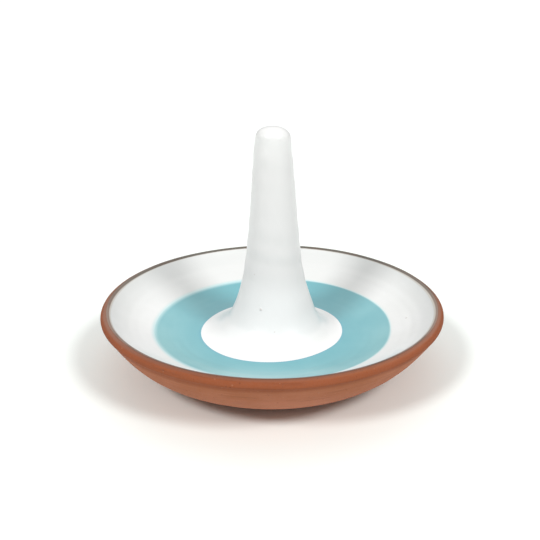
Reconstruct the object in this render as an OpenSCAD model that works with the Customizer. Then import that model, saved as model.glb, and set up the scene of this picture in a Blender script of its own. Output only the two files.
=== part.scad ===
// Thrown ring dish: a shallow earthenware bowl with a glazed ring spire standing on its floor.
// All lengths are in millimetres, +Z is up, and the origin is on the table under the spire.

/* [Bowl] */
// Radius of the bowl at the edge of its glaze
rim_r = 54; // [50:0.5:62]
// Height of the bowl's floor above the table, at the edge of the white disc
floor_h = 11; // [9.5:0.1:14]
// Radius of the white disc round the spire
disc_r = 24.1; // [22:0.1:28]
// Radius where the coloured band gives way to the white wall
band_r = 40; // [35:0.5:45]
// Rise of the coloured band, from the disc to the wall
band_rise = 2.3; // [1.5:0.1:4]
// Rise of the white wall, from the band to the glaze edge
wall_rise = 8.2; // [6:0.1:12]
// Fall of the disc at its edge, in degrees
disc_fall = 4; // [0:1:8]
// Slope of the bowl where the band meets the wall, in degrees
band_slope = 20; // [14:1:26]
// Slope of the wall at the glaze edge, in degrees
rim_slope = 48; // [40:1:58]

/* [Lip] */
// Width of the whole lip, from the glaze edge out to the crease
lip_w = 3.2; // [2.6:0.1:4.5]
// Distance from the glaze edge out to the crest of the lip
crest_w = 1.2; // [0.8:0.1:1.6]
// Rise from the glaze edge to the crest of the lip
crest_rise = 0.35; // [0.2:0.05:0.8]
// Drop from the crest of the lip to its crease
lip_drop = 1.8; // [1.2:0.05:3]
// Depth of the rounded corner under the crease
crease_round = 1.1; // [0.6:0.1:1.6]

/* [Outside] */
// Slope of the outer wall just under the crease, in degrees
wall_slope = 58; // [50:1:66]
// Radius where the outer wall turns under the dish
limb_r = 42.5; // [38:0.5:46]
// Height of that turn above the table
limb_h = 4.8; // [4.2:0.1:6.5]
// Slope of the underside at that turn, in degrees
limb_slope = 28; // [20:1:32]

/* [Foot] */
// Outer radius of the foot ring
foot_r = 26.5; // [23:0.5:31]
// Height of the foot ring, from the table to the underside of the dish
foot_h = 1.5; // [1.4:0.1:2.4]
// Width of the foot ring
foot_w = 3.8; // [3:0.1:6]
// Radius of the fillet between the foot ring and the underside
foot_fillet = 0.8; // [0.4:0.1:1]
// Rounding of the two edges that the foot ring stands between
foot_round = 0.4; // [0.2:0.1:0.6]
// Height of the turned recess at the foot ring
recess_edge_h = 2.8; // [2:0.1:3.4]
// Height of the turned recess in the middle
recess_h = 3.4; // [2:0.1:4]
// Radius of the fillet in the corner of the recess
recess_fillet = 1.2; // [0.5:0.1:1.4]

/* [Spire] */
// Height of the spire above the bowl's floor
spire_h = 70.1; // [55:0.5:85]
// Radius of the spire just under its crown
tip_r = 5.65; // [4.5:0.05:6.5]
// Height of the rounded crown
crown_h = 3.5; // [2.5:0.1:5]
// Radius of the spire at its waist
waist_r = 9.1; // [8:0.05:11]
// Height of the waist above the bowl's floor
waist_h = 27.7; // [20:0.1:34]
// Radius of the spire at its neck, where it flares out to the disc
neck_r = 13.9; // [12:0.1:16]
// Height of the neck above the bowl's floor
neck_h = 8.2; // [6:0.1:11]
// Lean of the spire's side under the crown, in degrees off upright
tip_taper = 5.6; // [2:0.1:8]
// Lean of the spire's side at its waist, in degrees off upright
waist_taper = 6.2; // [4:0.1:12]
// Lean of the spire's side at its neck, in degrees off upright
neck_flare = 21; // [16:1:34]

/* [Seat] */
// Radius of the seat that the spire is luted into
seat_r = 18; // [16.5:0.1:20]
// Depth of the seat under the bowl's bare floor
seat_depth = 1.5; // [1:0.1:3]
// Thickness of the slip that fills the seat round the spire's foot
slip_t = 0.6; // [0.4:0.1:1]

/* [Glaze] */
// Thickness of the glaze coats
glaze_t = 0.5; // [0.3:0.05:0.8]
// Thickness of the glaze where it dies out on the crest of the lip
line_t = 0.12; // [0.08:0.01:0.2]

/* [Hidden] */
// Straight stretches in each curve of the outline
curve_steps = 10;
// Length of a curve's handles as a share of its chord: a quarter turn is close to a true arc
fullness = 0.38;
// Facet count of the true cylinders and revolved faces
$fn = 128;
// Room left round the clay by the tools that part it
spare = 10;

terracotta = [0.63, 0.41, 0.31];
slip_clay = [0.52, 0.32, 0.24];
white_glaze = [0.95, 0.95, 0.93];
turquoise_glaze = [0.58, 0.78, 0.81];
thin_glaze = [0.50, 0.45, 0.36];

// The outline is a chain of stations, each [radius, height, heading in degrees].
// It runs down the spire, out over the floor, up the wall, over the lip and down under the foot.
spire_top = [0, floor_h + spire_h, 0];
spire_tip = [tip_r, floor_h + spire_h - crown_h, tip_taper - 90];
spire_waist = [waist_r, floor_h + waist_h, waist_taper - 90];
spire_neck = [neck_r, floor_h + neck_h, neck_flare - 90];
disc_edge = [disc_r, floor_h, -disc_fall];
band_edge = [band_r, floor_h + band_rise, band_slope];
glaze_edge = [rim_r, floor_h + band_rise + wall_rise, rim_slope];

lip_foot = under_glaze(glaze_edge);
crest = [rim_r + crest_w, glaze_edge[1] + crest_rise, 0];
crease = [rim_r + lip_w, crest[1] - lip_drop, -90];
under_lip = [crease[0] - crease_round / tan(wall_slope), crease[1] - crease_round, wall_slope - 180];
limb = [limb_r, limb_h, limb_slope - 180];

foot_in_r = foot_r - foot_w;
underside = [foot_r + foot_fillet, foot_h, 180];
foot_neck = [foot_r, foot_h - foot_fillet, -90];
land_out = [foot_r - foot_round, 0, 180];
land_in = [foot_in_r + foot_round, 0, 180];
recess_side = [foot_in_r, foot_round, 90];
recess_turn = [foot_in_r, recess_edge_h - recess_fillet, 90];
recess_edge = [foot_in_r - recess_fillet, recess_edge_h, 180];
recess_top = [0, recess_h, 180];

seat_h = floor_h - glaze_t - seat_depth;

// Point a distance ahead of a station, along its heading
function ahead(s, d) = [s[0] + d * cos(s[2]), s[1] + d * sin(s[2])];

// Point a distance to the left of a heading, which is the open side of the clay
function beside(p, heading, d) = [p[0] - d * sin(heading), p[1] + d * cos(heading)];

// Station on the bare clay under a station on the glaze
function under_glaze(s) = concat(beside(s, s[2], -glaze_t), s[2]);

// The four handles of the curve between two stations
function handles(a, b) =
    let (reach = fullness * norm([b[0] - a[0], b[1] - a[1]]))
    [[a[0], a[1]], ahead(a, reach), ahead(b, -reach), [b[0], b[1]]];

// Place along a curve, from t = 0 to t = 1
function place(h, t) =
    pow(1 - t, 3) * h[0] + 3 * t * pow(1 - t, 2) * h[1] + 3 * t * t * (1 - t) * h[2] + pow(t, 3) * h[3];

// Heading of a curve at t
function heading(h, t) =
    let (way = pow(1 - t, 2) * (h[1] - h[0]) + 2 * t * (1 - t) * (h[2] - h[1]) + t * t * (h[3] - h[2]))
    atan2(way[1], way[0]);

// Points of the curve between two stations, set off to the left by start at a and by end at b
function curve(a, b, start = 0, end = 0) =
    let (h = handles(a, b))
    [for (i = [0:curve_steps])
        let (t = i / curve_steps)
        beside(place(h, t), heading(h, t), start + (end - start) * t)];

// Points of the curves through a chain of stations, all set off to the left by one distance
function chain(stations, off = 0) =
    [for (i = [0:len(stations) - 2]) each curve(stations[i], stations[i + 1], off, off)];

// A list the other way round
function turned(points) = [for (i = [len(points) - 1:-1:0]) points[i]];

// A list without points that lie on the one before
function thinned(points) =
    [for (i = [0:len(points) - 1]) if (i == 0 || norm(points[i] - points[max(i - 1, 0)]) > 0.001) points[i]];

spire_stations = [spire_top, spire_tip, spire_waist, spire_neck, disc_edge];
lip_stations = [crest, crease, under_lip, limb, underside, foot_neck];
foot_stations = [recess_turn, recess_edge, recess_top];

// Clay of the dish and the spire in one, as it stands before the glaze
module thrown_clay() {
    outline = concat(
        chain(concat(spire_stations, [band_edge, glaze_edge]), -glaze_t),
        curve(lip_foot, crest),
        chain(lip_stations),
        curve([foot_r, foot_round, -90], land_out),
        curve(land_in, recess_side),
        chain(foot_stations));
    rotate_extrude() polygon(thinned(outline));
}

// Round column that stands on the seat, or on the slip in it
module seat_column(r, from_h) {
    translate([0, 0, from_h]) cylinder(r = r, h = spire_top[1] + spare - from_h);
}

// Even coat of glaze over a chain of stations
module coat(stations) {
    rotate_extrude() polygon(thinned(concat(chain(stations), turned(chain(stations, -glaze_t)))));
}

// Bare bowl with its lip, its foot ring, the turned recess and the seat for the spire
module dish_body() {
    color(terracotta) difference() {
        thrown_clay();
        seat_column(seat_r, seat_h);
    }
}

// Slip that lutes the spire into its seat, under its foot and round it
module luting_slip() {
    color(slip_clay) difference() {
        intersection() {
            thrown_clay();
            seat_column(seat_r, seat_h);
        }
        seat_column(seat_r - slip_t, seat_h + slip_t);
    }
}

// Clay spire with its flared foot
module spire_core() {
    color(terracotta) intersection() {
        thrown_clay();
        seat_column(seat_r - slip_t, seat_h + slip_t);
    }
}

// White glaze over the spire, its flare and the disc round it
module spire_glaze() {
    color(white_glaze) coat(spire_stations);
}

// Coloured glaze band round the disc
module band_glaze() {
    color(turquoise_glaze) coat([disc_edge, band_edge]);
}

// White glaze up the wall
module wall_glaze() {
    color(white_glaze) coat([band_edge, glaze_edge]);
}

// Thin glaze that dies out over the inside of the lip
module rim_line() {
    color(thin_glaze) rotate_extrude()
        polygon(concat(curve(lip_foot, crest, glaze_t, line_t), turned(curve(lip_foot, crest))));
}

dish_body();
luting_slip();
spire_core();
spire_glaze();
band_glaze();
wall_glaze();
rim_line();
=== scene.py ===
import bisect
import math

import bpy
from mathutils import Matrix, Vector, noise


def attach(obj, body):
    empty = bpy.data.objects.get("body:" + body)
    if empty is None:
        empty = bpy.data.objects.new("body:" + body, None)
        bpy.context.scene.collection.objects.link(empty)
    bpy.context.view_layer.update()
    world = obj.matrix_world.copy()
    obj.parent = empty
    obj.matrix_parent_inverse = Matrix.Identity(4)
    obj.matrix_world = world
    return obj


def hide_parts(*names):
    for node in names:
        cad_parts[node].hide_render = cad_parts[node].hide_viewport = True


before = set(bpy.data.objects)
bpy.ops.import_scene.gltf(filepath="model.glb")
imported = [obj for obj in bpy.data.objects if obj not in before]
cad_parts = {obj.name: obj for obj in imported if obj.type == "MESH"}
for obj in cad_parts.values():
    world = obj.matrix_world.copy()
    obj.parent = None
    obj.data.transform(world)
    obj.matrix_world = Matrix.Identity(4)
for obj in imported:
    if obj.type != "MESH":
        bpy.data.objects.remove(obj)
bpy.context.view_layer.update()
print("frame loaded, nodes:", ", ".join(sorted(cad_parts)))

mm = 0.001

# The camera stands where the photograph was taken from: low in front, a forearm away.
camera = {
    "distance": 270 * mm,
    "pitch": 21.1,  # degrees below level
    "aside": -0.57 * mm,  # the dish stands a little right of the lens axis
    "aimHeight": 32.83 * mm,
    "lens": 53.8,
    "sensor": 36.0,
}


def addCamera():
    pitch = math.radians(camera["pitch"])
    data = bpy.data.cameras.new("camera")
    data.sensor_width = camera["sensor"]
    data.lens = camera["lens"]
    data.clip_start = 0.01
    data.clip_end = 60
    body = bpy.data.objects.new("camera", data)
    body.location = (
        camera["aside"],
        -camera["distance"] * math.cos(pitch),
        camera["aimHeight"] + camera["distance"] * math.sin(pitch),
    )
    body.rotation_euler = (math.radians(90) - pitch, 0, 0)
    bpy.context.scene.collection.objects.link(body)
    bpy.context.scene.camera = body


addCamera()
print("camera placed")

# The thrown section as stations: radius, height, heading in degrees.
# It runs down the spire, out over the floor, up the wall, over the lip and down under the foot.
section = {
    "spireTop": (0.0, 81.1 * mm, 0),
    "spireTip": (5.65 * mm, 77.6 * mm, -84.4),
    "spireWaist": (9.1 * mm, 38.7 * mm, -83.8),
    "spireNeck": (13.9 * mm, 19.2 * mm, -69),
    "discEdge": (24.1 * mm, 11.0 * mm, -4),
    "bandEdge": (40.0 * mm, 13.3 * mm, 20),
    "glazeEdge": (54.0 * mm, 21.5 * mm, 48),
    "crest": (55.2 * mm, 21.85 * mm, 0),
    "crease": (57.2 * mm, 20.05 * mm, -90),
    "underLip": (56.51 * mm, 18.95 * mm, -122),
    "limb": (42.5 * mm, 4.8 * mm, -152),
    "underside": (27.3 * mm, 1.5 * mm, 180),
    "footNeck": (26.5 * mm, 0.7 * mm, -90),
    "footOuter": (26.5 * mm, 0.4 * mm, -90),
    "landOuter": (26.1 * mm, 0.0, 180),
    "landInner": (23.1 * mm, 0.0, 180),
    "recessSide": (22.7 * mm, 0.4 * mm, 90),
    "recessTurn": (22.7 * mm, 1.6 * mm, 90),
    "recessEdge": (21.5 * mm, 2.8 * mm, 180),
    "recessTop": (0.0, 3.4 * mm, 180),
    "fullness": 0.38,  # handle length as a share of the chord
    "glazeThick": 0.5 * mm,
    "lineThick": 0.12 * mm,  # the glaze's thickness where it dies out on the crest
    "seatRadius": 18.0 * mm,
    "seatHeight": 9.0 * mm,
    "slipThick": 0.6 * mm,
}

# What the thrower's hand left: small departures from a true round.
# A wave is (times round, size, place in degrees); a ring is (pitch, depth).
handWork = {
    "spireSway": [(11, -0.15), (13.7, 0.2), (16.7, 0.55), (21.7, 0.75), (41.7, 0.6), (81.1, 0.35)],  # height, shift
    "swayEnds": (22 * mm, 30 * mm),  # radii between which the sway dies out in the floor
    "rimPush": [(0, 0.1 * mm, 0), (1, 0.22 * mm, 47), (2, 0.33 * mm, 37), (3, 0.1 * mm, 10), (5, 0.05 * mm, 70)],
    "rimLift": [(1, 0.12 * mm, 80), (2, 0.12 * mm, 60), (3, 0.07 * mm, 200)],
    "rimFrom": (30 * mm, 54 * mm),  # radii between which the rim's wander grows
    "discDrift": [(0, 0.1 * mm, 0), (1, 0.21 * mm, -29), (2, 0.57 * mm, 47), (3, 0.05 * mm, 0), (7, 0.05 * mm, 30)],
    "bandDrift": [(0, 0.5 * mm, 0), (1, 0.52 * mm, -56), (2, 0.46 * mm, 78), (3, 0.19 * mm, 32), (8, 0.07 * mm, 15)],
    "breakSwell": [(2, 0.03 * mm, 20), (5, 0.03 * mm, 75), (9, 0.02 * mm, 140)],
    "breakDrift": [(0, 0.05 * mm, 0), (1, 0.35 * mm, -75), (2, 0.12 * mm, 0)],  # how far the white comes over
    "bowlRings": (3.4 * mm, 0.022 * mm),
    "spireRings": (7.5 * mm, 0.09 * mm),
    "flutter": (13 * mm, 0.06 * mm),  # size and depth of the slow unevenness of every surface
}

# Columns of the turned meshes, and the length of a row in each place.
turning = {
    "columns": 256,
    "seenRow": 0.5 * mm,
    "hiddenRow": 1.0 * mm,
    "lipRow": 0.16 * mm,
    "footRow": 0.12 * mm,
    "breakRows": 12,
    "sharpFrom": 40,  # degrees between faces from which an edge is not shaded soft
}


def waves(rows, angle):
    return sum(size * math.cos(times * (angle - math.radians(place))) for times, size, place in rows)


def ease(low, high, value):
    t = min(max((value - low) / (high - low), 0.0), 1.0)
    return t * t * (3 - 2 * t)


def leftOf(way):
    return Vector((-way.y, way.x))


# Dense points and headings along the curves between stations, set off to the left of the way.
def throwCurve(stations, setOff=0.0, setOffEnd=0.0):
    points = []
    for a, b in zip(stations, stations[1:]):
        start, end = Vector(a[:2]), Vector(b[:2])
        reach = section["fullness"] * (end - start).length
        leave = start + reach * Vector((math.cos(math.radians(a[2])), math.sin(math.radians(a[2]))))
        arrive = end - reach * Vector((math.cos(math.radians(b[2])), math.sin(math.radians(b[2]))))
        count = max(6, int((end - start).length / (0.15 * mm)))
        for i in range(count + 1):
            t = i / count
            u = 1 - t
            place = u**3 * start + 3 * u * u * t * leave + 3 * u * t * t * arrive + t**3 * end
            way = u * u * (leave - start) + 2 * u * t * (arrive - leave) + t * t * (end - arrive)
            way.normalize()
            spot = place + (setOff + (setOffEnd - setOff) * t) * leftOf(way)
            if not points or (spot - points[-1][0]).length > 1e-7:
                points.append((spot, way))
    return points


# A section curve that gives the place and the heading at a length along it.
class Trace:
    def __init__(self, points):
        self.points = points
        self.lengths = [0.0]
        for (a, _), (b, _) in zip(points, points[1:]):
            self.lengths.append(self.lengths[-1] + (b - a).length)
        self.total = self.lengths[-1]

    def at(self, length):
        length = min(max(length, 0.0), self.total)
        i = min(max(bisect.bisect_right(self.lengths, length) - 1, 0), len(self.points) - 2)
        t = (length - self.lengths[i]) / (self.lengths[i + 1] - self.lengths[i])
        (a, wayA), (b, wayB) = self.points[i], self.points[i + 1]
        return a.lerp(b, t), wayA.lerp(wayB, t).normalized()

    def lengthAt(self, radius, after=0.0):
        for i in range(len(self.points) - 1):
            a, b = self.points[i][0].x, self.points[i + 1][0].x
            if self.lengths[i] >= after and a <= radius < b:
                return self.lengths[i] + (radius - a) / (b - a) * (self.lengths[i + 1] - self.lengths[i])
        raise ValueError("the section never reaches that radius")

    def rows(self, start, end, step):
        count = max(2, round((end - start) / step))
        return [self.at(start + (end - start) * i / count) for i in range(count + 1)]


def traceOf(*names):
    return Trace(throwCurve([section[name] for name in names]))


skin = traceOf("spireTop", "spireTip", "spireWaist", "spireNeck", "discEdge", "bandEdge", "glazeEdge")
neckLength = skin.lengthAt(section["spireNeck"][0])
discLength = skin.lengthAt(section["discEdge"][0], neckLength)
bandLength = skin.lengthAt(section["bandEdge"][0], neckLength)

clay = Trace([(spot - section["glazeThick"] * leftOf(way), way) for spot, way in skin.points])
clayNeck = clay.lengthAt(section["spireNeck"][0] - section["glazeThick"])
seatLength = clay.lengthAt(section["seatRadius"], clayNeck)
slipLength = clay.lengthAt(section["seatRadius"] - section["slipThick"], clayNeck)
lipFoot = (clay.points[-1][0].x, clay.points[-1][0].y, section["glazeEdge"][2])
print("section drawn, %.1f mm of skin" % (skin.total / mm))


def swayAt(radius, height):
    rows = handWork["spireSway"]
    shift = rows[0][1]
    for (lowHeight, lowShift), (highHeight, highShift) in zip(rows, rows[1:]):
        if height / mm >= lowHeight:
            shift = lowShift + (highShift - lowShift) * ease(lowHeight, highHeight, height / mm)
    return shift * mm * (1 - ease(*handWork["swayEnds"], radius))


# Depth of the spiral rings that fingers leave: one run up the spire, another out over the bowl.
def ringsAt(radius, height, angle):
    onSpire = (1 - ease(14 * mm, 22 * mm, radius)) * ease(12 * mm, 17 * mm, height) * ease(0, 5 * mm, radius)
    onBowl = ease(18 * mm, 26 * mm, radius) * ease(1 * mm, 6 * mm, height)
    depth = 0.0
    for share, run, (pitch, deep) in (
        (onSpire, height, handWork["spireRings"]),
        (onBowl, radius, handWork["bowlRings"]),
    ):
        fading = 0.6 + 0.4 * math.sin(2 * math.pi * run / (4.3 * pitch))
        depth += share * deep * fading * math.sin(2 * math.pi * run / pitch + angle)
    return depth


# Where a point of the true section lies on the pot, once the hand's work is on it.
def thrown(spot, way, angle):
    radius, height = spot
    grow = ease(*handWork["rimFrom"], radius)
    size, deep = handWork["flutter"]
    place = Vector((radius * math.cos(angle), radius * math.sin(angle), height))
    proud = ringsAt(radius, height, angle) + deep * noise.noise(place / size) * ease(1 * mm, 6 * mm, height)
    out = radius + waves(handWork["rimPush"], angle) * grow - way.y * proud
    return Vector((
        out * math.cos(angle) + swayAt(radius, height),
        out * math.sin(angle),
        height + waves(handWork["rimLift"], angle) * grow + way.x * proud,
    ))


# A turned mesh from a function that gives the section's rows at an angle: (spot, way) or (spot, way, marks).
# Marks become two values on each point of the mesh, which the glazes read. A ring's last row joins its first.
def turnMesh(name, rowsAt, ring=False):
    vertices, marks, grid, poles = [], [], [], {}
    for k in range(turning["columns"]):
        angle = 2 * math.pi * k / turning["columns"]
        column = []
        for i, (spot, way, *mark) in enumerate(rowsAt(angle)):
            onAxis = spot.x < 0.01 * mm
            if onAxis and i in poles:
                column.append(poles[i])
                continue
            column.append(len(vertices))
            vertices.append(thrown(spot, way, angle))
            marks.append(mark[0] if mark else None)
            if onAxis:
                poles[i] = column[-1]
        grid.append(column)

    faces = []
    rowCount = len(grid[0])
    for k, here in enumerate(grid):
        there = grid[(k + 1) % len(grid)]
        for i in range(rowCount if ring else rowCount - 1):
            j = (i + 1) % rowCount
            face = [here[i], here[j], there[j], there[i]]
            face = [v for n, v in enumerate(face) if v != face[n - 1]]
            if len(face) > 2:
                faces.append(face)

    mesh = bpy.data.meshes.new(name)
    mesh.from_pydata([tuple(v) for v in vertices], [], faces)
    mesh.shade_smooth()
    mesh.set_sharp_from_angle(angle=math.radians(turning["sharpFrom"]))
    if marks[0]:
        for place, label in enumerate(("innerEdge", "outerEdge")):
            mesh.attributes.new(label, "FLOAT", "POINT").data.foreach_set("value", [m[place] for m in marks])
    piece = bpy.data.objects.new(name, mesh)
    bpy.context.scene.collection.objects.link(piece)
    return piece


# Straight section rows from a to b, both included.
def straight(a, b, step=turning["hiddenRow"]):
    a, b = Vector(a[:2]), Vector(b[:2])
    count = max(1, round((b - a).length / step))
    return [(a.lerp(b, i / count), (b - a).normalized()) for i in range(count + 1)]


# Bare clay: the seat, the floor and wall under the glaze, the lip, the outside, the foot ring and the recess.
def makeBowl():
    seat = (section["seatRadius"], section["seatHeight"])
    lip = Trace(throwCurve([lipFoot, section["crest"], section["crease"], section["underLip"]]))
    outside = traceOf("underLip", "limb", "underside", "footNeck")
    footCorner = traceOf("footOuter", "landOuter")
    innerCorner = traceOf("landInner", "recessSide")
    recess = traceOf("recessTurn", "recessEdge", "recessTop")
    rows = straight((0, seat[1]), seat)
    rows += straight(seat, clay.at(seatLength)[0])[1:-1]
    rows += clay.rows(seatLength, clay.total, turning["hiddenRow"])
    rows += lip.rows(0, lip.total, turning["lipRow"])[1:]
    rows += outside.rows(0, outside.total, turning["seenRow"])[1:]
    rows += footCorner.rows(0, footCorner.total, turning["footRow"])
    rows += straight(section["landOuter"], section["landInner"])[1:-1]
    rows += innerCorner.rows(0, innerCorner.total, turning["footRow"])
    rows += recess.rows(0, recess.total, turning["seenRow"])
    return turnMesh("bowl_clay", lambda angle: rows)


def makeSpire():
    foot = (section["seatRadius"] - section["slipThick"], section["seatHeight"] + section["slipThick"])
    rows = clay.rows(0, slipLength, turning["hiddenRow"])
    rows += straight(clay.at(slipLength)[0], foot)[1:]
    rows += straight(foot, (0, foot[1]))[1:]
    return turnMesh("spire_clay", lambda angle: rows)


# Slip under the spire's foot and round it.
def makeSlip():
    foot = (section["seatRadius"] - section["slipThick"], section["seatHeight"] + section["slipThick"])
    seat = (section["seatRadius"], section["seatHeight"])
    rows = straight((0, foot[1]), foot)
    rows += straight(foot, clay.at(slipLength)[0])[1:]
    rows += clay.rows(slipLength, seatLength, turning["hiddenRow"])[1:]
    rows += straight(clay.at(seatLength)[0], seat)[1:]
    rows += straight(seat, (0, seat[1]))[1:]
    return turnMesh("joint_slip", lambda angle: rows)


# A coat of glaze between two lengths along the skin. Each edge may drift on its way round the pot.
def makeCoat(name, start, end, startDrift=(), endDrift=()):
    def rowsAt(angle):
        first = start + waves(startDrift, angle)
        last = end + waves(endDrift, angle)
        rows = []
        for deep, step in ((0.0, turning["seenRow"]), (section["glazeThick"], turning["hiddenRow"])):
            count = round((end - start) / step)
            side = []
            for i in range(count + 1):
                length = first + (last - first) * i / count
                spot, way = skin.at(length)
                side.append((spot - deep * leftOf(way), way, ((length - first) / mm, (last - length) / mm)))
            rows += side[::-1] if deep else side
        return rows

    return turnMesh(name, rowsAt, ring=True)


# Thin glaze that dies out over the inside of the lip, a little fuller in some places than in others.
def makeRimBreak():
    ends = [lipFoot, section["crest"]]
    top = Trace(throwCurve(ends, section["glazeThick"], section["lineThick"]))
    under = Trace(throwCurve(ends))
    count = turning["breakRows"]

    def rowsAt(angle):
        swell = waves(handWork["breakSwell"], angle)
        drift = waves(handWork["breakDrift"], angle)
        rows, marks = [], []
        for i in range(count + 1):
            length = top.total * i / count
            spot, way = top.at(length)
            marks.append(((length - drift) / mm, (top.total - length) / mm))
            rows.append((spot + swell * math.sin(math.pi * i / count) * leftOf(way), way, marks[-1]))
        back = under.rows(0, under.total, under.total / count)
        return rows + [(*row, mark) for row, mark in zip(back, marks)][::-1]

    return turnMesh("rim_break", rowsAt, ring=True)


bowlClay = makeBowl()
spireClay = makeSpire()
jointSlip = makeSlip()
spireGlaze = makeCoat("spire_white", 0.0, discLength, endDrift=handWork["discDrift"])
bandGlaze = makeCoat("band_turquoise", discLength, bandLength, handWork["discDrift"], handWork["bandDrift"])
wallGlaze = makeCoat("wall_white", bandLength, skin.total, startDrift=handWork["bandDrift"])
rimBreak = makeRimBreak()
print("pieces turned")


# A colour as seen, 0 to 255, as the linear values that a shader wants.
def seen(red, green, blue):
    shares = (value / 255 for value in (red, green, blue))
    return tuple(c / 12.92 if c <= 0.04045 else ((c + 0.055) / 1.055) ** 2.4 for c in shares)


# Short words for adding nodes to one tree and joining them.
class Wiring:
    def __init__(self, tree):
        self.tree = tree

    def feed(self, socket, value):
        if isinstance(value, bpy.types.NodeSocket):
            self.tree.links.new(value, socket)
        elif socket.type == "RGBA":
            socket.default_value = (*value, 1.0)
        else:
            socket.default_value = value

    def add(self, kind, settings=(), **values):
        node = self.tree.nodes.new(kind)
        for key, value in dict(settings).items():
            setattr(node, key, value)
        for key, value in values.items():
            self.feed(node.inputs[key.replace("_", " ")], value)
        return node

    def group(self, name, **values):
        return self.add("ShaderNodeGroup", {"node_tree": bpy.data.node_groups[name]}, **values).outputs

    def math(self, operation, a, b=0.0):
        node = self.add("ShaderNodeMath", {"operation": operation})
        self.feed(node.inputs[0], a)
        self.feed(node.inputs[1], b)
        return node.outputs[0]

    def total(self, *parts):
        result = 0.0
        for value, share in parts:
            node = self.add("ShaderNodeMath", {"operation": "MULTIPLY_ADD"})
            for socket, part in zip(node.inputs, (value, share, result)):
                self.feed(socket, part)
            result = node.outputs[0]
        return result

    # Noise from 0 to 1 whose lumps are about size metres across. With out it has a fourth direction.
    def noise(self, place, size, detail=2.0, rough=0.5, out=None):
        kind = {"noise_dimensions": "3D" if out is None else "4D"}
        node = self.add("ShaderNodeTexNoise", kind, Vector=place, Scale=0.5 / size, Detail=detail, Roughness=rough)
        if out is not None:
            self.feed(node.inputs["W"], out)
        return node.outputs["Fac"]

    # Smooth step from one value to another.
    def ramp(self, value, low, high, start=0.0, end=1.0):
        node = self.add("ShaderNodeMapRange", {"interpolation_type": "SMOOTHSTEP"}, Value=value)
        for label, bound in zip(("From Min", "From Max", "To Min", "To Max"), (low, high, start, end)):
            self.feed(node.inputs[label], bound)
        return node.outputs["Result"]

    def blend(self, share, a, b):
        node = self.add("ShaderNodeMix", {"data_type": "RGBA"})
        for place, value in ((0, share), (6, a), (7, b)):
            self.feed(node.inputs[place], value)
        return node.outputs[2]


# An empty node group with named sockets. Inputs are name: default, outputs name: kind.
def newGroup(name, inputs, outputs):
    group = bpy.data.node_groups.new(name, "ShaderNodeTree")
    for label, value in inputs.items():
        group.interface.new_socket(label, in_out="INPUT", socket_type="NodeSocketFloat").default_value = value
    for label, kind in outputs.items():
        group.interface.new_socket(label, in_out="OUTPUT", socket_type="NodeSocket" + kind)
    wiring = Wiring(group)
    return wiring, wiring.add("NodeGroupInput").outputs, wiring.add("NodeGroupOutput").inputs


# A place whose marks run round the pot: the way round is shortened to that of a small hoop.
def makeWheelPlace():
    outputs = {"Round": "Vector", "Radius": "Float", "Height": "Float"}
    w, given, out = newGroup("wheelPlace", {"Hoop": 0.004}, outputs)
    parts = w.add("ShaderNodeSeparateXYZ", Vector=w.add("ShaderNodeTexCoord").outputs["Object"]).outputs
    across = w.math("ADD", w.math("MULTIPLY", parts[0], parts[0]), w.math("MULTIPLY", parts[1], parts[1]))
    radius = w.math("SQRT", across)
    safe = w.math("MAXIMUM", radius, 1e-5)
    turnX = w.math("MULTIPLY", w.math("DIVIDE", parts[0], safe), given["Hoop"])
    turnY = w.math("MULTIPLY", w.math("DIVIDE", parts[1], safe), given["Hoop"])
    w.feed(out["Round"], w.add("ShaderNodeCombineXYZ", X=turnX, Y=turnY, Z=parts[2]).outputs[0])
    w.feed(out["Radius"], radius)
    w.feed(out["Height"], parts[2])


# One spot in some of the cells of a pattern: size is a cell's width, share how many hold a spot.
def makeSpots():
    w, given, out = newGroup("spots", {"Cell": 0.003, "Spot": 0.2, "Share": 0.3}, {"Mask": "Float"})
    place = w.add("ShaderNodeTexCoord").outputs["Object"]
    cells = w.add("ShaderNodeTexVoronoi", Vector=place, Scale=w.math("DIVIDE", 1.0, given["Cell"])).outputs
    chance = w.add("ShaderNodeSeparateColor", Color=cells["Color"]).outputs
    wide = w.math("MULTIPLY", given["Spot"], w.total((chance[1], 0.9), (1.0, 0.4)))
    inside = w.ramp(w.math("DIVIDE", cells["Distance"], wide), 0.6, 1.0, 1.0, 0.0)
    w.feed(out["Mask"], w.math("MULTIPLY", inside, w.math("LESS_THAN", chance[0], given["Share"])))


# Sandy fired clay: its tone, the lines left by the turning tool, and how proud its grains stand.
def makeClayGrain():
    inputs = {"Grain": 1.0, "Lines": 1.0}
    outputs = {"Tone": "Float", "Sand": "Float", "Streak": "Float", "Pit": "Float", "Grog": "Float", "Height": "Float"}
    w, given, out = newGroup("clayGrain", inputs, outputs)
    place = w.add("ShaderNodeTexCoord").outputs["Object"]
    wheel = w.group("wheelPlace", Hoop=0.004)
    sand = w.noise(place, 0.28 * mm, 3.0, 0.6)
    streak = w.noise(wheel["Round"], 0.45 * mm, 3.0, 0.6, wheel["Radius"])
    pit = w.group("spots", Cell=1.3 * mm, Spot=0.2, Share=0.28)["Mask"]
    grog = w.group("spots", Cell=1.0 * mm, Spot=0.24, Share=0.16)["Mask"]
    w.feed(out["Tone"], w.noise(place, 8 * mm, 4.0, 0.55))
    w.feed(out["Sand"], sand)
    w.feed(out["Streak"], streak)
    w.feed(out["Pit"], pit)
    w.feed(out["Grog"], grog)
    grains = w.math("MULTIPLY", sand, given["Grain"])
    lines = w.math("MULTIPLY", streak, given["Lines"])
    w.feed(out["Height"], w.total((grains, 0.9), (lines, 0.8), (pit, -0.7), (grog, 0.3)))


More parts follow.
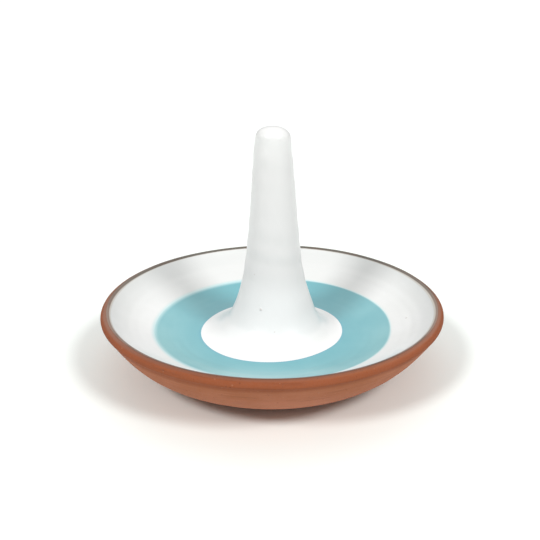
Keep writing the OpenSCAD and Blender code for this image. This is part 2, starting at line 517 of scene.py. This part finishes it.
# Fired glaze: where it lies deeper, how the brush went round, its specks and pinholes, and its soft height.
def makeGlazeDepth():
    inputs = {"Specks": 0.3}
    outputs = {"Cloud": "Float", "Brush": "Float", "Speck": "Float", "Pinhole": "Float", "Height": "Float"}
    w, given, out = newGroup("glazeDepth", inputs, outputs)
    place = w.add("ShaderNodeTexCoord").outputs["Object"]
    wheel = w.group("wheelPlace", Hoop=0.006)
    cloud = w.noise(place, 10 * mm, 3.0, 0.5)
    brush = w.noise(wheel["Round"], 2.4 * mm, 3.0, 0.55, wheel["Radius"])
    ripple = w.noise(place, 1.5 * mm, 2.0, 0.5)
    pinhole = w.group("spots", Cell=3.0 * mm, Spot=0.045, Share=0.2)["Mask"]
    w.feed(out["Cloud"], cloud)
    w.feed(out["Brush"], brush)
    w.feed(out["Speck"], w.group("spots", Cell=7.0 * mm, Spot=0.04, Share=given["Specks"])["Mask"])
    w.feed(out["Pinhole"], pinhole)
    w.feed(out["Height"], w.total((cloud, 0.6), (brush, 0.12), (ripple, 0.12), (pinhole, -0.25)))


# How far a place is towards the back of the pot, where the glazes and the crest are painted darker as shade: 0 in
# front, 1 behind.
# The second share is 0 only in front and rises to 1 towards the sides, where the lip and rim line are painted paler as
# sheen.
def makeBackShadeSideSheen():
    w, given, out = newGroup("backShadeSideSheen", {"Patch": 0.009}, {"Share": "Float", "SideSheen": "Float"})
    place = w.add("ShaderNodeTexCoord").outputs["Object"]
    depth = w.add("ShaderNodeSeparateXYZ", Vector=place).outputs[1]
    patches = w.add("ShaderNodeTexNoise", Vector=place, Scale=w.math("DIVIDE", 0.5, given["Patch"]), Detail=3.0)
    wander = w.math("MULTIPLY", patches.outputs["Fac"], 50 * mm)
    w.feed(out["Share"], w.ramp(w.math("ADD", depth, wander), 5 * mm, 60 * mm))
    w.feed(out["SideSheen"], w.ramp(depth, -52 * mm, -15 * mm))


makeWheelPlace()
makeSpots()
makeClayGrain()
makeGlazeDepth()
makeBackShadeSideSheen()
print("shader groups built")


# A material whose shader holds the values that are the same all over the piece.
def newMaterial(name, **values):
    material = bpy.data.materials.new(name)
    material.use_nodes = True
    material.node_tree.nodes.clear()
    w = Wiring(material.node_tree)
    shader = w.add("ShaderNodeBsdfPrincipled", **values)
    w.add("ShaderNodeOutputMaterial", Surface=shader.outputs[0])
    return material, w, shader.inputs


bareClay = {
    "body": (157, 94, 60),
    "pale": (180, 116, 88),
    "paleSheenFrom": (18 * mm, 5 * mm),  # heights, downward, over which the wall turns pale as painted sheen of the floor's bounce light
    "lip": (136, 70, 37),
    "dark": (84, 45, 28),
    "grog": (190, 148, 118),
    "lipFrom": (55.2 * mm, 56.6 * mm),  # radii between which the redder clay of the lip takes over
    # The crest's stain is painted paler at the sides as sheen and darker at the back as shade.
    "stainFront": (122, 76, 57),
    "stainAndLight": (140, 103, 87),
    "stainBackShade": (88, 80, 71),
    "stainFrom": (21.25 * mm, 21.8 * mm),  # heights between which the glaze's wash stains the crest
    "gloss": 0.4,
    "rough": (0.78, 0.95),
    "relief": 0.05 * mm,
}


# Red earthenware: redder on the wiped lip, paler in random patches, and paler towards the foot as painted sheen of the
# floor's bounce light.
def makeBareClay():
    look = bareClay
    material, w, shader = newMaterial("bareClay", Specular_IOR_Level=look["gloss"])
    grain = w.group("clayGrain", Grain=1.0, Lines=1.0)
    wheel = w.group("wheelPlace")
    # Paler towards the foot as painted sheen of the floor's bounce light, added to random paler patches.
    pale = w.total((w.ramp(grain["Tone"], 0.35, 0.68), 0.4), (w.ramp(wheel["Height"], *look["paleSheenFrom"]), 0.6))
    colour = w.blend(pale, seen(*look["body"]), seen(*look["pale"]))
    colour = w.blend(w.ramp(grain["Streak"], 0.52, 0.75, 0.0, 0.35), colour, seen(*look["pale"]))
    colour = w.blend(w.ramp(wheel["Radius"], *look["lipFrom"], 0.0, 0.85), colour, seen(*look["lip"]))
    # The stain on the crest, painted paler at the sides as sheen and darker at the back as shade.
    back = w.group("backShadeSideSheen", Patch=9 * mm)
    stainAndLight = w.blend(back["SideSheen"], seen(*look["stainFront"]), seen(*look["stainAndLight"]))
    stainAndLight = w.blend(back["Share"], stainAndLight, seen(*look["stainBackShade"]))
    colour = w.blend(w.ramp(wheel["Height"], *look["stainFrom"], 0.0, 0.85), colour, stainAndLight)
    colour = w.blend(w.ramp(grain["Streak"], 0.48, 0.28, 0.0, 0.22), colour, seen(*look["dark"]))
    colour = w.blend(w.ramp(grain["Sand"], 0.42, 0.28, 0.0, 0.3), colour, seen(*look["dark"]))
    colour = w.blend(w.math("MULTIPLY", grain["Pit"], 0.4), colour, seen(*look["dark"]))
    colour = w.blend(w.math("MULTIPLY", grain["Grog"], 0.2), colour, seen(*look["grog"]))
    w.feed(shader["Base Color"], colour)
    w.feed(shader["Roughness"], w.ramp(grain["Sand"], 0.35, 0.65, *look["rough"]))
    bump = w.add("ShaderNodeBump", Height=grain["Height"], Strength=0.8, Distance=look["relief"])
    w.feed(shader["Normal"], bump.outputs[0])
    return material


jointClay = {"colour": (140, 84, 60), "dark": (84, 46, 34), "rough": (0.85, 0.97), "relief": 0.08 * mm}


# Fired slip in the joint.
def makeJointClay():
    look = jointClay
    material, w, shader = newMaterial("jointClay")
    grain = w.group("clayGrain", Grain=0.6, Lines=0.2)
    w.feed(shader["Base Color"], w.blend(w.ramp(grain["Tone"], 0.3, 0.7), seen(*look["colour"]), seen(*look["dark"])))
    w.feed(shader["Roughness"], w.ramp(grain["Sand"], 0.35, 0.65, *look["rough"]))
    bump = w.add("ShaderNodeBump", Height=grain["Height"], Strength=0.8, Distance=look["relief"])
    w.feed(shader["Normal"], bump.outputs[0])
    return material


# The finish of every glaze: gloss that follows its depth, and the soft relief of a melted coat.
def finishGlaze(w, shader, glaze, look, height):
    w.feed(shader["Roughness"], w.ramp(glaze["Cloud"], 0.3, 0.7, *look["rough"]))
    bump = w.add("ShaderNodeBump", Height=height, Strength=0.5, Distance=look["relief"])
    w.feed(shader["Normal"], bump.outputs[0])


# Where the few spots lie that came out of the kiln with the pot: 1 on a spot, 0 off them.
def spotsAt(w, spots):
    place = w.add("ShaderNodeTexCoord").outputs["Object"]
    masks = []
    for x, y, z, radius in spots:
        node = w.add("ShaderNodeVectorMath", {"operation": "DISTANCE"})
        w.feed(node.inputs[0], place)
        w.feed(node.inputs[1], (x, y, z))
        masks.append((w.ramp(node.outputs["Value"], 0.4 * radius, radius, 1.0, 0.0), 1.0))
    return w.total(*masks)


# Distance from an edge of the coat in millimetres, made uneven by the brush.
def fromEdge(w, glaze, edge, uneven):
    distance = w.add("ShaderNodeAttribute", {"attribute_name": edge}).outputs["Fac"]
    return w.total((glaze["Brush"], uneven), (distance, 1.0), (1.0, -0.5 * uneven))


# A value that goes over from one to another from the left of the pot to the right, as a brush runs dry.
def acrossPot(w, left, right):
    place = w.add("ShaderNodeTexCoord").outputs["Object"]
    return w.ramp(w.add("ShaderNodeSeparateXYZ", Vector=place).outputs[0], -30 * mm, 30 * mm, left, right)


whiteGlaze = {
    "thick": (232, 232, 231),
    "thin": (227, 227, 225),
    "upright": (219, 218, 217),  # painted shade on the spire's upright side
    "uprightFrom": (24 * mm, 36 * mm),  # heights
    "uprightTo": (66 * mm, 81 * mm),
    "bandTint": (184, 214, 216),
    "bandTintWide": (1.7, 0.8),  # at the left and the right, in millimetres as all distances from the edges
    "rimTint": (196, 190, 182),
    "rimTintWide": 0.5,
    # Painted shade on the back of the wall.
    "back": (215, 216, 214),
    "speck": (176, 158, 150),
    "spireSpots": [(-3.6 * mm, -11.7 * mm, 23.6 * mm, 0.6 * mm), (10.5 * mm, -7.3 * mm, 22.5 * mm, 0.5 * mm)],
    "wallSpots": [(46.0 * mm, -0.3 * mm, 15.8 * mm, 0.7 * mm)],
    "rough": (0.28, 0.42),
    "coat": 0.25,
    "coatRough": 0.16,
    "relief": 0.35 * mm,
}


# White glaze. On the wall it takes a breath of the band's colour at one edge, thins at the rim and is painted darker
# towards the back as shade. On the spire its upright side is painted darker as shade.
def makeWhiteGlaze(name, onWall):
    look = whiteGlaze
    material, w, shader = newMaterial(name, Coat_Weight=look["coat"], Coat_Roughness=look["coatRough"])
    glaze = w.group("glazeDepth", Specks=0.3)
    colour = w.blend(w.ramp(glaze["Cloud"], 0.35, 0.7), seen(*look["thick"]), seen(*look["thin"]))
    if onWall:
        inner = fromEdge(w, glaze, "innerEdge", 1.2)
        outer = fromEdge(w, glaze, "outerEdge", 0.5)
        # Painted shade towards the back of the wall.
        shadeBehind = w.math("MULTIPLY", w.group("backShadeSideSheen", Patch=14 * mm)["Share"], 0.8)
        colour = w.blend(shadeBehind, colour, seen(*look["back"]))
        wide = acrossPot(w, *look["bandTintWide"])
        colour = w.blend(w.ramp(inner, -0.4, wide, 1.0, 0.0), colour, seen(*look["bandTint"]))
        colour = w.blend(w.ramp(outer, 0.0, look["rimTintWide"], 0.8, 0.0), colour, seen(*look["rimTint"]))
    else:
        # Painted shade on the spire's upright side, fading out towards the crown.
        height = w.group("wheelPlace")["Height"]
        upright = w.math("MULTIPLY", w.ramp(height, *look["uprightFrom"]), w.ramp(height, *look["uprightTo"], 1.0, 0.2))
        colour = w.blend(upright, colour, seen(*look["upright"]))
    spot = spotsAt(w, look["wallSpots"] if onWall else look["spireSpots"])
    colour = w.blend(w.total((glaze["Speck"], 0.6), (spot, 0.35)), colour, seen(*look["speck"]))
    w.feed(shader["Base Color"], colour)
    finishGlaze(w, shader, glaze, look, w.total((glaze["Height"], 1.0), (spot, 0.8)))
    return material


turquoiseGlaze = {
    "inner": (110, 171, 179),
    "outer": (137, 187, 191),
    "deep": (96, 159, 170),
    # Painted shade on the back of the band.
    "back": (94, 160, 170),
    "pooled": (100, 163, 179),
    "pooledWide": 1.3,  # in millimetres
    "fade": (184, 214, 216),
    "fadeWide": (1.6, 0.6),  # at the left and the right
    "innerRadius": 25 * mm,
    "outerRadius": 39 * mm,
    "rough": (0.3, 0.44),
    "coat": 0.25,
    "coatRough": 0.16,
    "relief": 0.35 * mm,
}


# Turquoise glaze, bluer where it pools against the disc and paler where it thins outward, painted darker towards the
# back as shade.
def makeTurquoiseGlaze():
    look = turquoiseGlaze
    material, w, shader = newMaterial("turquoiseGlaze", Coat_Weight=look["coat"], Coat_Roughness=look["coatRough"])
    glaze = w.group("glazeDepth", Specks=0.15)
    radius = w.group("wheelPlace")["Radius"]
    inner = fromEdge(w, glaze, "innerEdge", 0.6)
    outer = fromEdge(w, glaze, "outerEdge", 1.0)
    outward = w.ramp(radius, look["innerRadius"], look["outerRadius"])
    colour = w.blend(outward, seen(*look["inner"]), seen(*look["outer"]))
    # Painted shade towards the back of the band.
    shadeBehind = w.math("MULTIPLY", w.group("backShadeSideSheen", Patch=14 * mm)["Share"], 0.7)
    colour = w.blend(shadeBehind, colour, seen(*look["back"]))
    colour = w.blend(w.ramp(glaze["Cloud"], 0.45, 0.75, 0.0, 0.3), colour, seen(*look["deep"]))
    colour = w.blend(w.ramp(glaze["Brush"], 0.5, 0.75, 0.0, 0.15), colour, seen(*look["deep"]))
    colour = w.blend(w.ramp(inner, 0.0, look["pooledWide"], 0.8, 0.0), colour, seen(*look["pooled"]))
    wide = acrossPot(w, *look["fadeWide"])
    colour = w.blend(w.ramp(outer, -0.4, wide, 1.0, 0.0), colour, seen(*look["fade"]))
    w.feed(shader["Base Color"], colour)
    finishGlaze(w, shader, glaze, look, glaze["Height"])
    return material


thinGlaze = {
    "start": (206, 200, 192),
    "startWide": 0.45,  # in millimetres
    # Brown in front, painted paler at the sides as sheen, olive grey at the back as painted shade.
    "front": (122, 94, 82),
    "side": (140, 117, 104),
    "back": (96, 90, 81),
    "crust": (104, 86, 74),
    "patch": 5 * mm,
    "rough": (0.36, 0.55),
    "coat": 0.2,
    "coatRough": 0.2,
    "relief": 0.15 * mm,
}


# Glaze so thin that the clay burns through, brown in front, painted paler at the sides as sheen and olive grey at the
# back as painted shade, darker in patches.
def makeThinGlaze():
    look = thinGlaze
    material, w, shader = newMaterial("thinGlaze", Coat_Weight=look["coat"], Coat_Roughness=look["coatRough"])
    glaze = w.group("glazeDepth", Specks=0.0)
    patches = w.noise(w.add("ShaderNodeTexCoord").outputs["Object"], look["patch"], 3.0, 0.6)
    inner = fromEdge(w, glaze, "innerEdge", 0.4)
    back = w.group("backShadeSideSheen", Patch=9 * mm)
    # Painted paler at the sides as sheen and darker at the back as shade.
    colour = w.blend(back["SideSheen"], seen(*look["front"]), seen(*look["side"]))
    colour = w.blend(back["Share"], colour, seen(*look["back"]))
    colour = w.blend(w.ramp(patches, 0.45, 0.7, 0.0, 0.7), colour, seen(*look["crust"]))
    colour = w.blend(w.ramp(inner, -0.1, look["startWide"], 1.0, 0.0), colour, seen(*look["start"]))
    w.feed(shader["Base Color"], colour)
    finishGlaze(w, shader, glaze, look, glaze["Height"])
    return material


# Gives a piece its material and its body, and hides the solid from model.glb that it stands for.
def dress(piece, material, node):
    piece.data.materials.append(material)
    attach(piece, "root")
    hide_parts(node)


clayFinish = makeBareClay()
dress(bowlClay, clayFinish, "dish_body")
dress(spireClay, clayFinish, "spire_core")
dress(jointSlip, makeJointClay(), "luting_slip")
dress(spireGlaze, makeWhiteGlaze("whiteGlazeSpire", False), "spire_glaze")
dress(wallGlaze, makeWhiteGlaze("whiteGlazeWall", True), "wall_glaze")
dress(bandGlaze, makeTurquoiseGlaze(), "band_glaze")
dress(rimBreak, makeThinGlaze(), "rim_line")
print("pieces dressed")

# A white room with soft lamps: degrees round from the camera, degrees up, degrees wide, strength.
studio = {
    "floorWide": 12.0,
    "floor": (244, 249, 246),
    "floorRough": 0.8,
    "sky": (1.0, 1.0, 1.0),
    "skyStrength": (0.15, 0.55),  # at the foot of the room's walls and higher up
    "skyFrom": (0.1, 0.6),  # heights of the way out, 1 straight up
    "lamps": {"leftLamp": (-44, 44, 14, 1.48), "rightLamp": (48, 45, 16, 1.56), "backLamp": (180, 50, 60, 0.35)},
}


def addFloor():
    half = studio["floorWide"] / 2
    mesh = bpy.data.meshes.new("floor")
    mesh.from_pydata([(-half, -half, 0), (half, -half, 0), (half, half, 0), (-half, half, 0)], [], [(0, 1, 2, 3)])
    floor = bpy.data.objects.new("floor", mesh)
    bpy.context.scene.collection.objects.link(floor)
    material, _, _ = newMaterial("paleFloor", Base_Color=seen(*studio["floor"]), Roughness=studio["floorRough"])
    mesh.materials.append(material)


def addLight():
    scene = bpy.context.scene
    scene.view_settings.view_transform = "Standard"
    scene.world = bpy.data.worlds.new("studio")
    scene.world.use_nodes = True
    w = Wiring(scene.world.node_tree)
    background = scene.world.node_tree.nodes["Background"].inputs
    w.feed(background["Color"], studio["sky"])
    way = w.add("ShaderNodeTexCoord").outputs["Generated"]
    strength = w.ramp(w.add("ShaderNodeSeparateXYZ", Vector=way).outputs[2], *studio["skyFrom"], *studio["skyStrength"])
    inView = w.add("ShaderNodeLightPath").outputs["Is Camera Ray"]  # the room looks white beyond the floor
    w.feed(background["Strength"], w.math("MAXIMUM", inView, strength))
    for name, (aside, up, wide, strength) in studio["lamps"].items():
        data = bpy.data.lights.new(name, "SUN")
        data.energy = strength
        data.angle = math.radians(wide)
        lamp = bpy.data.objects.new(name, data)
        lamp.rotation_euler = (math.radians(90 - up), 0, math.radians(aside))
        scene.collection.objects.link(lamp)


addFloor()
addLight()
print("studio lit")
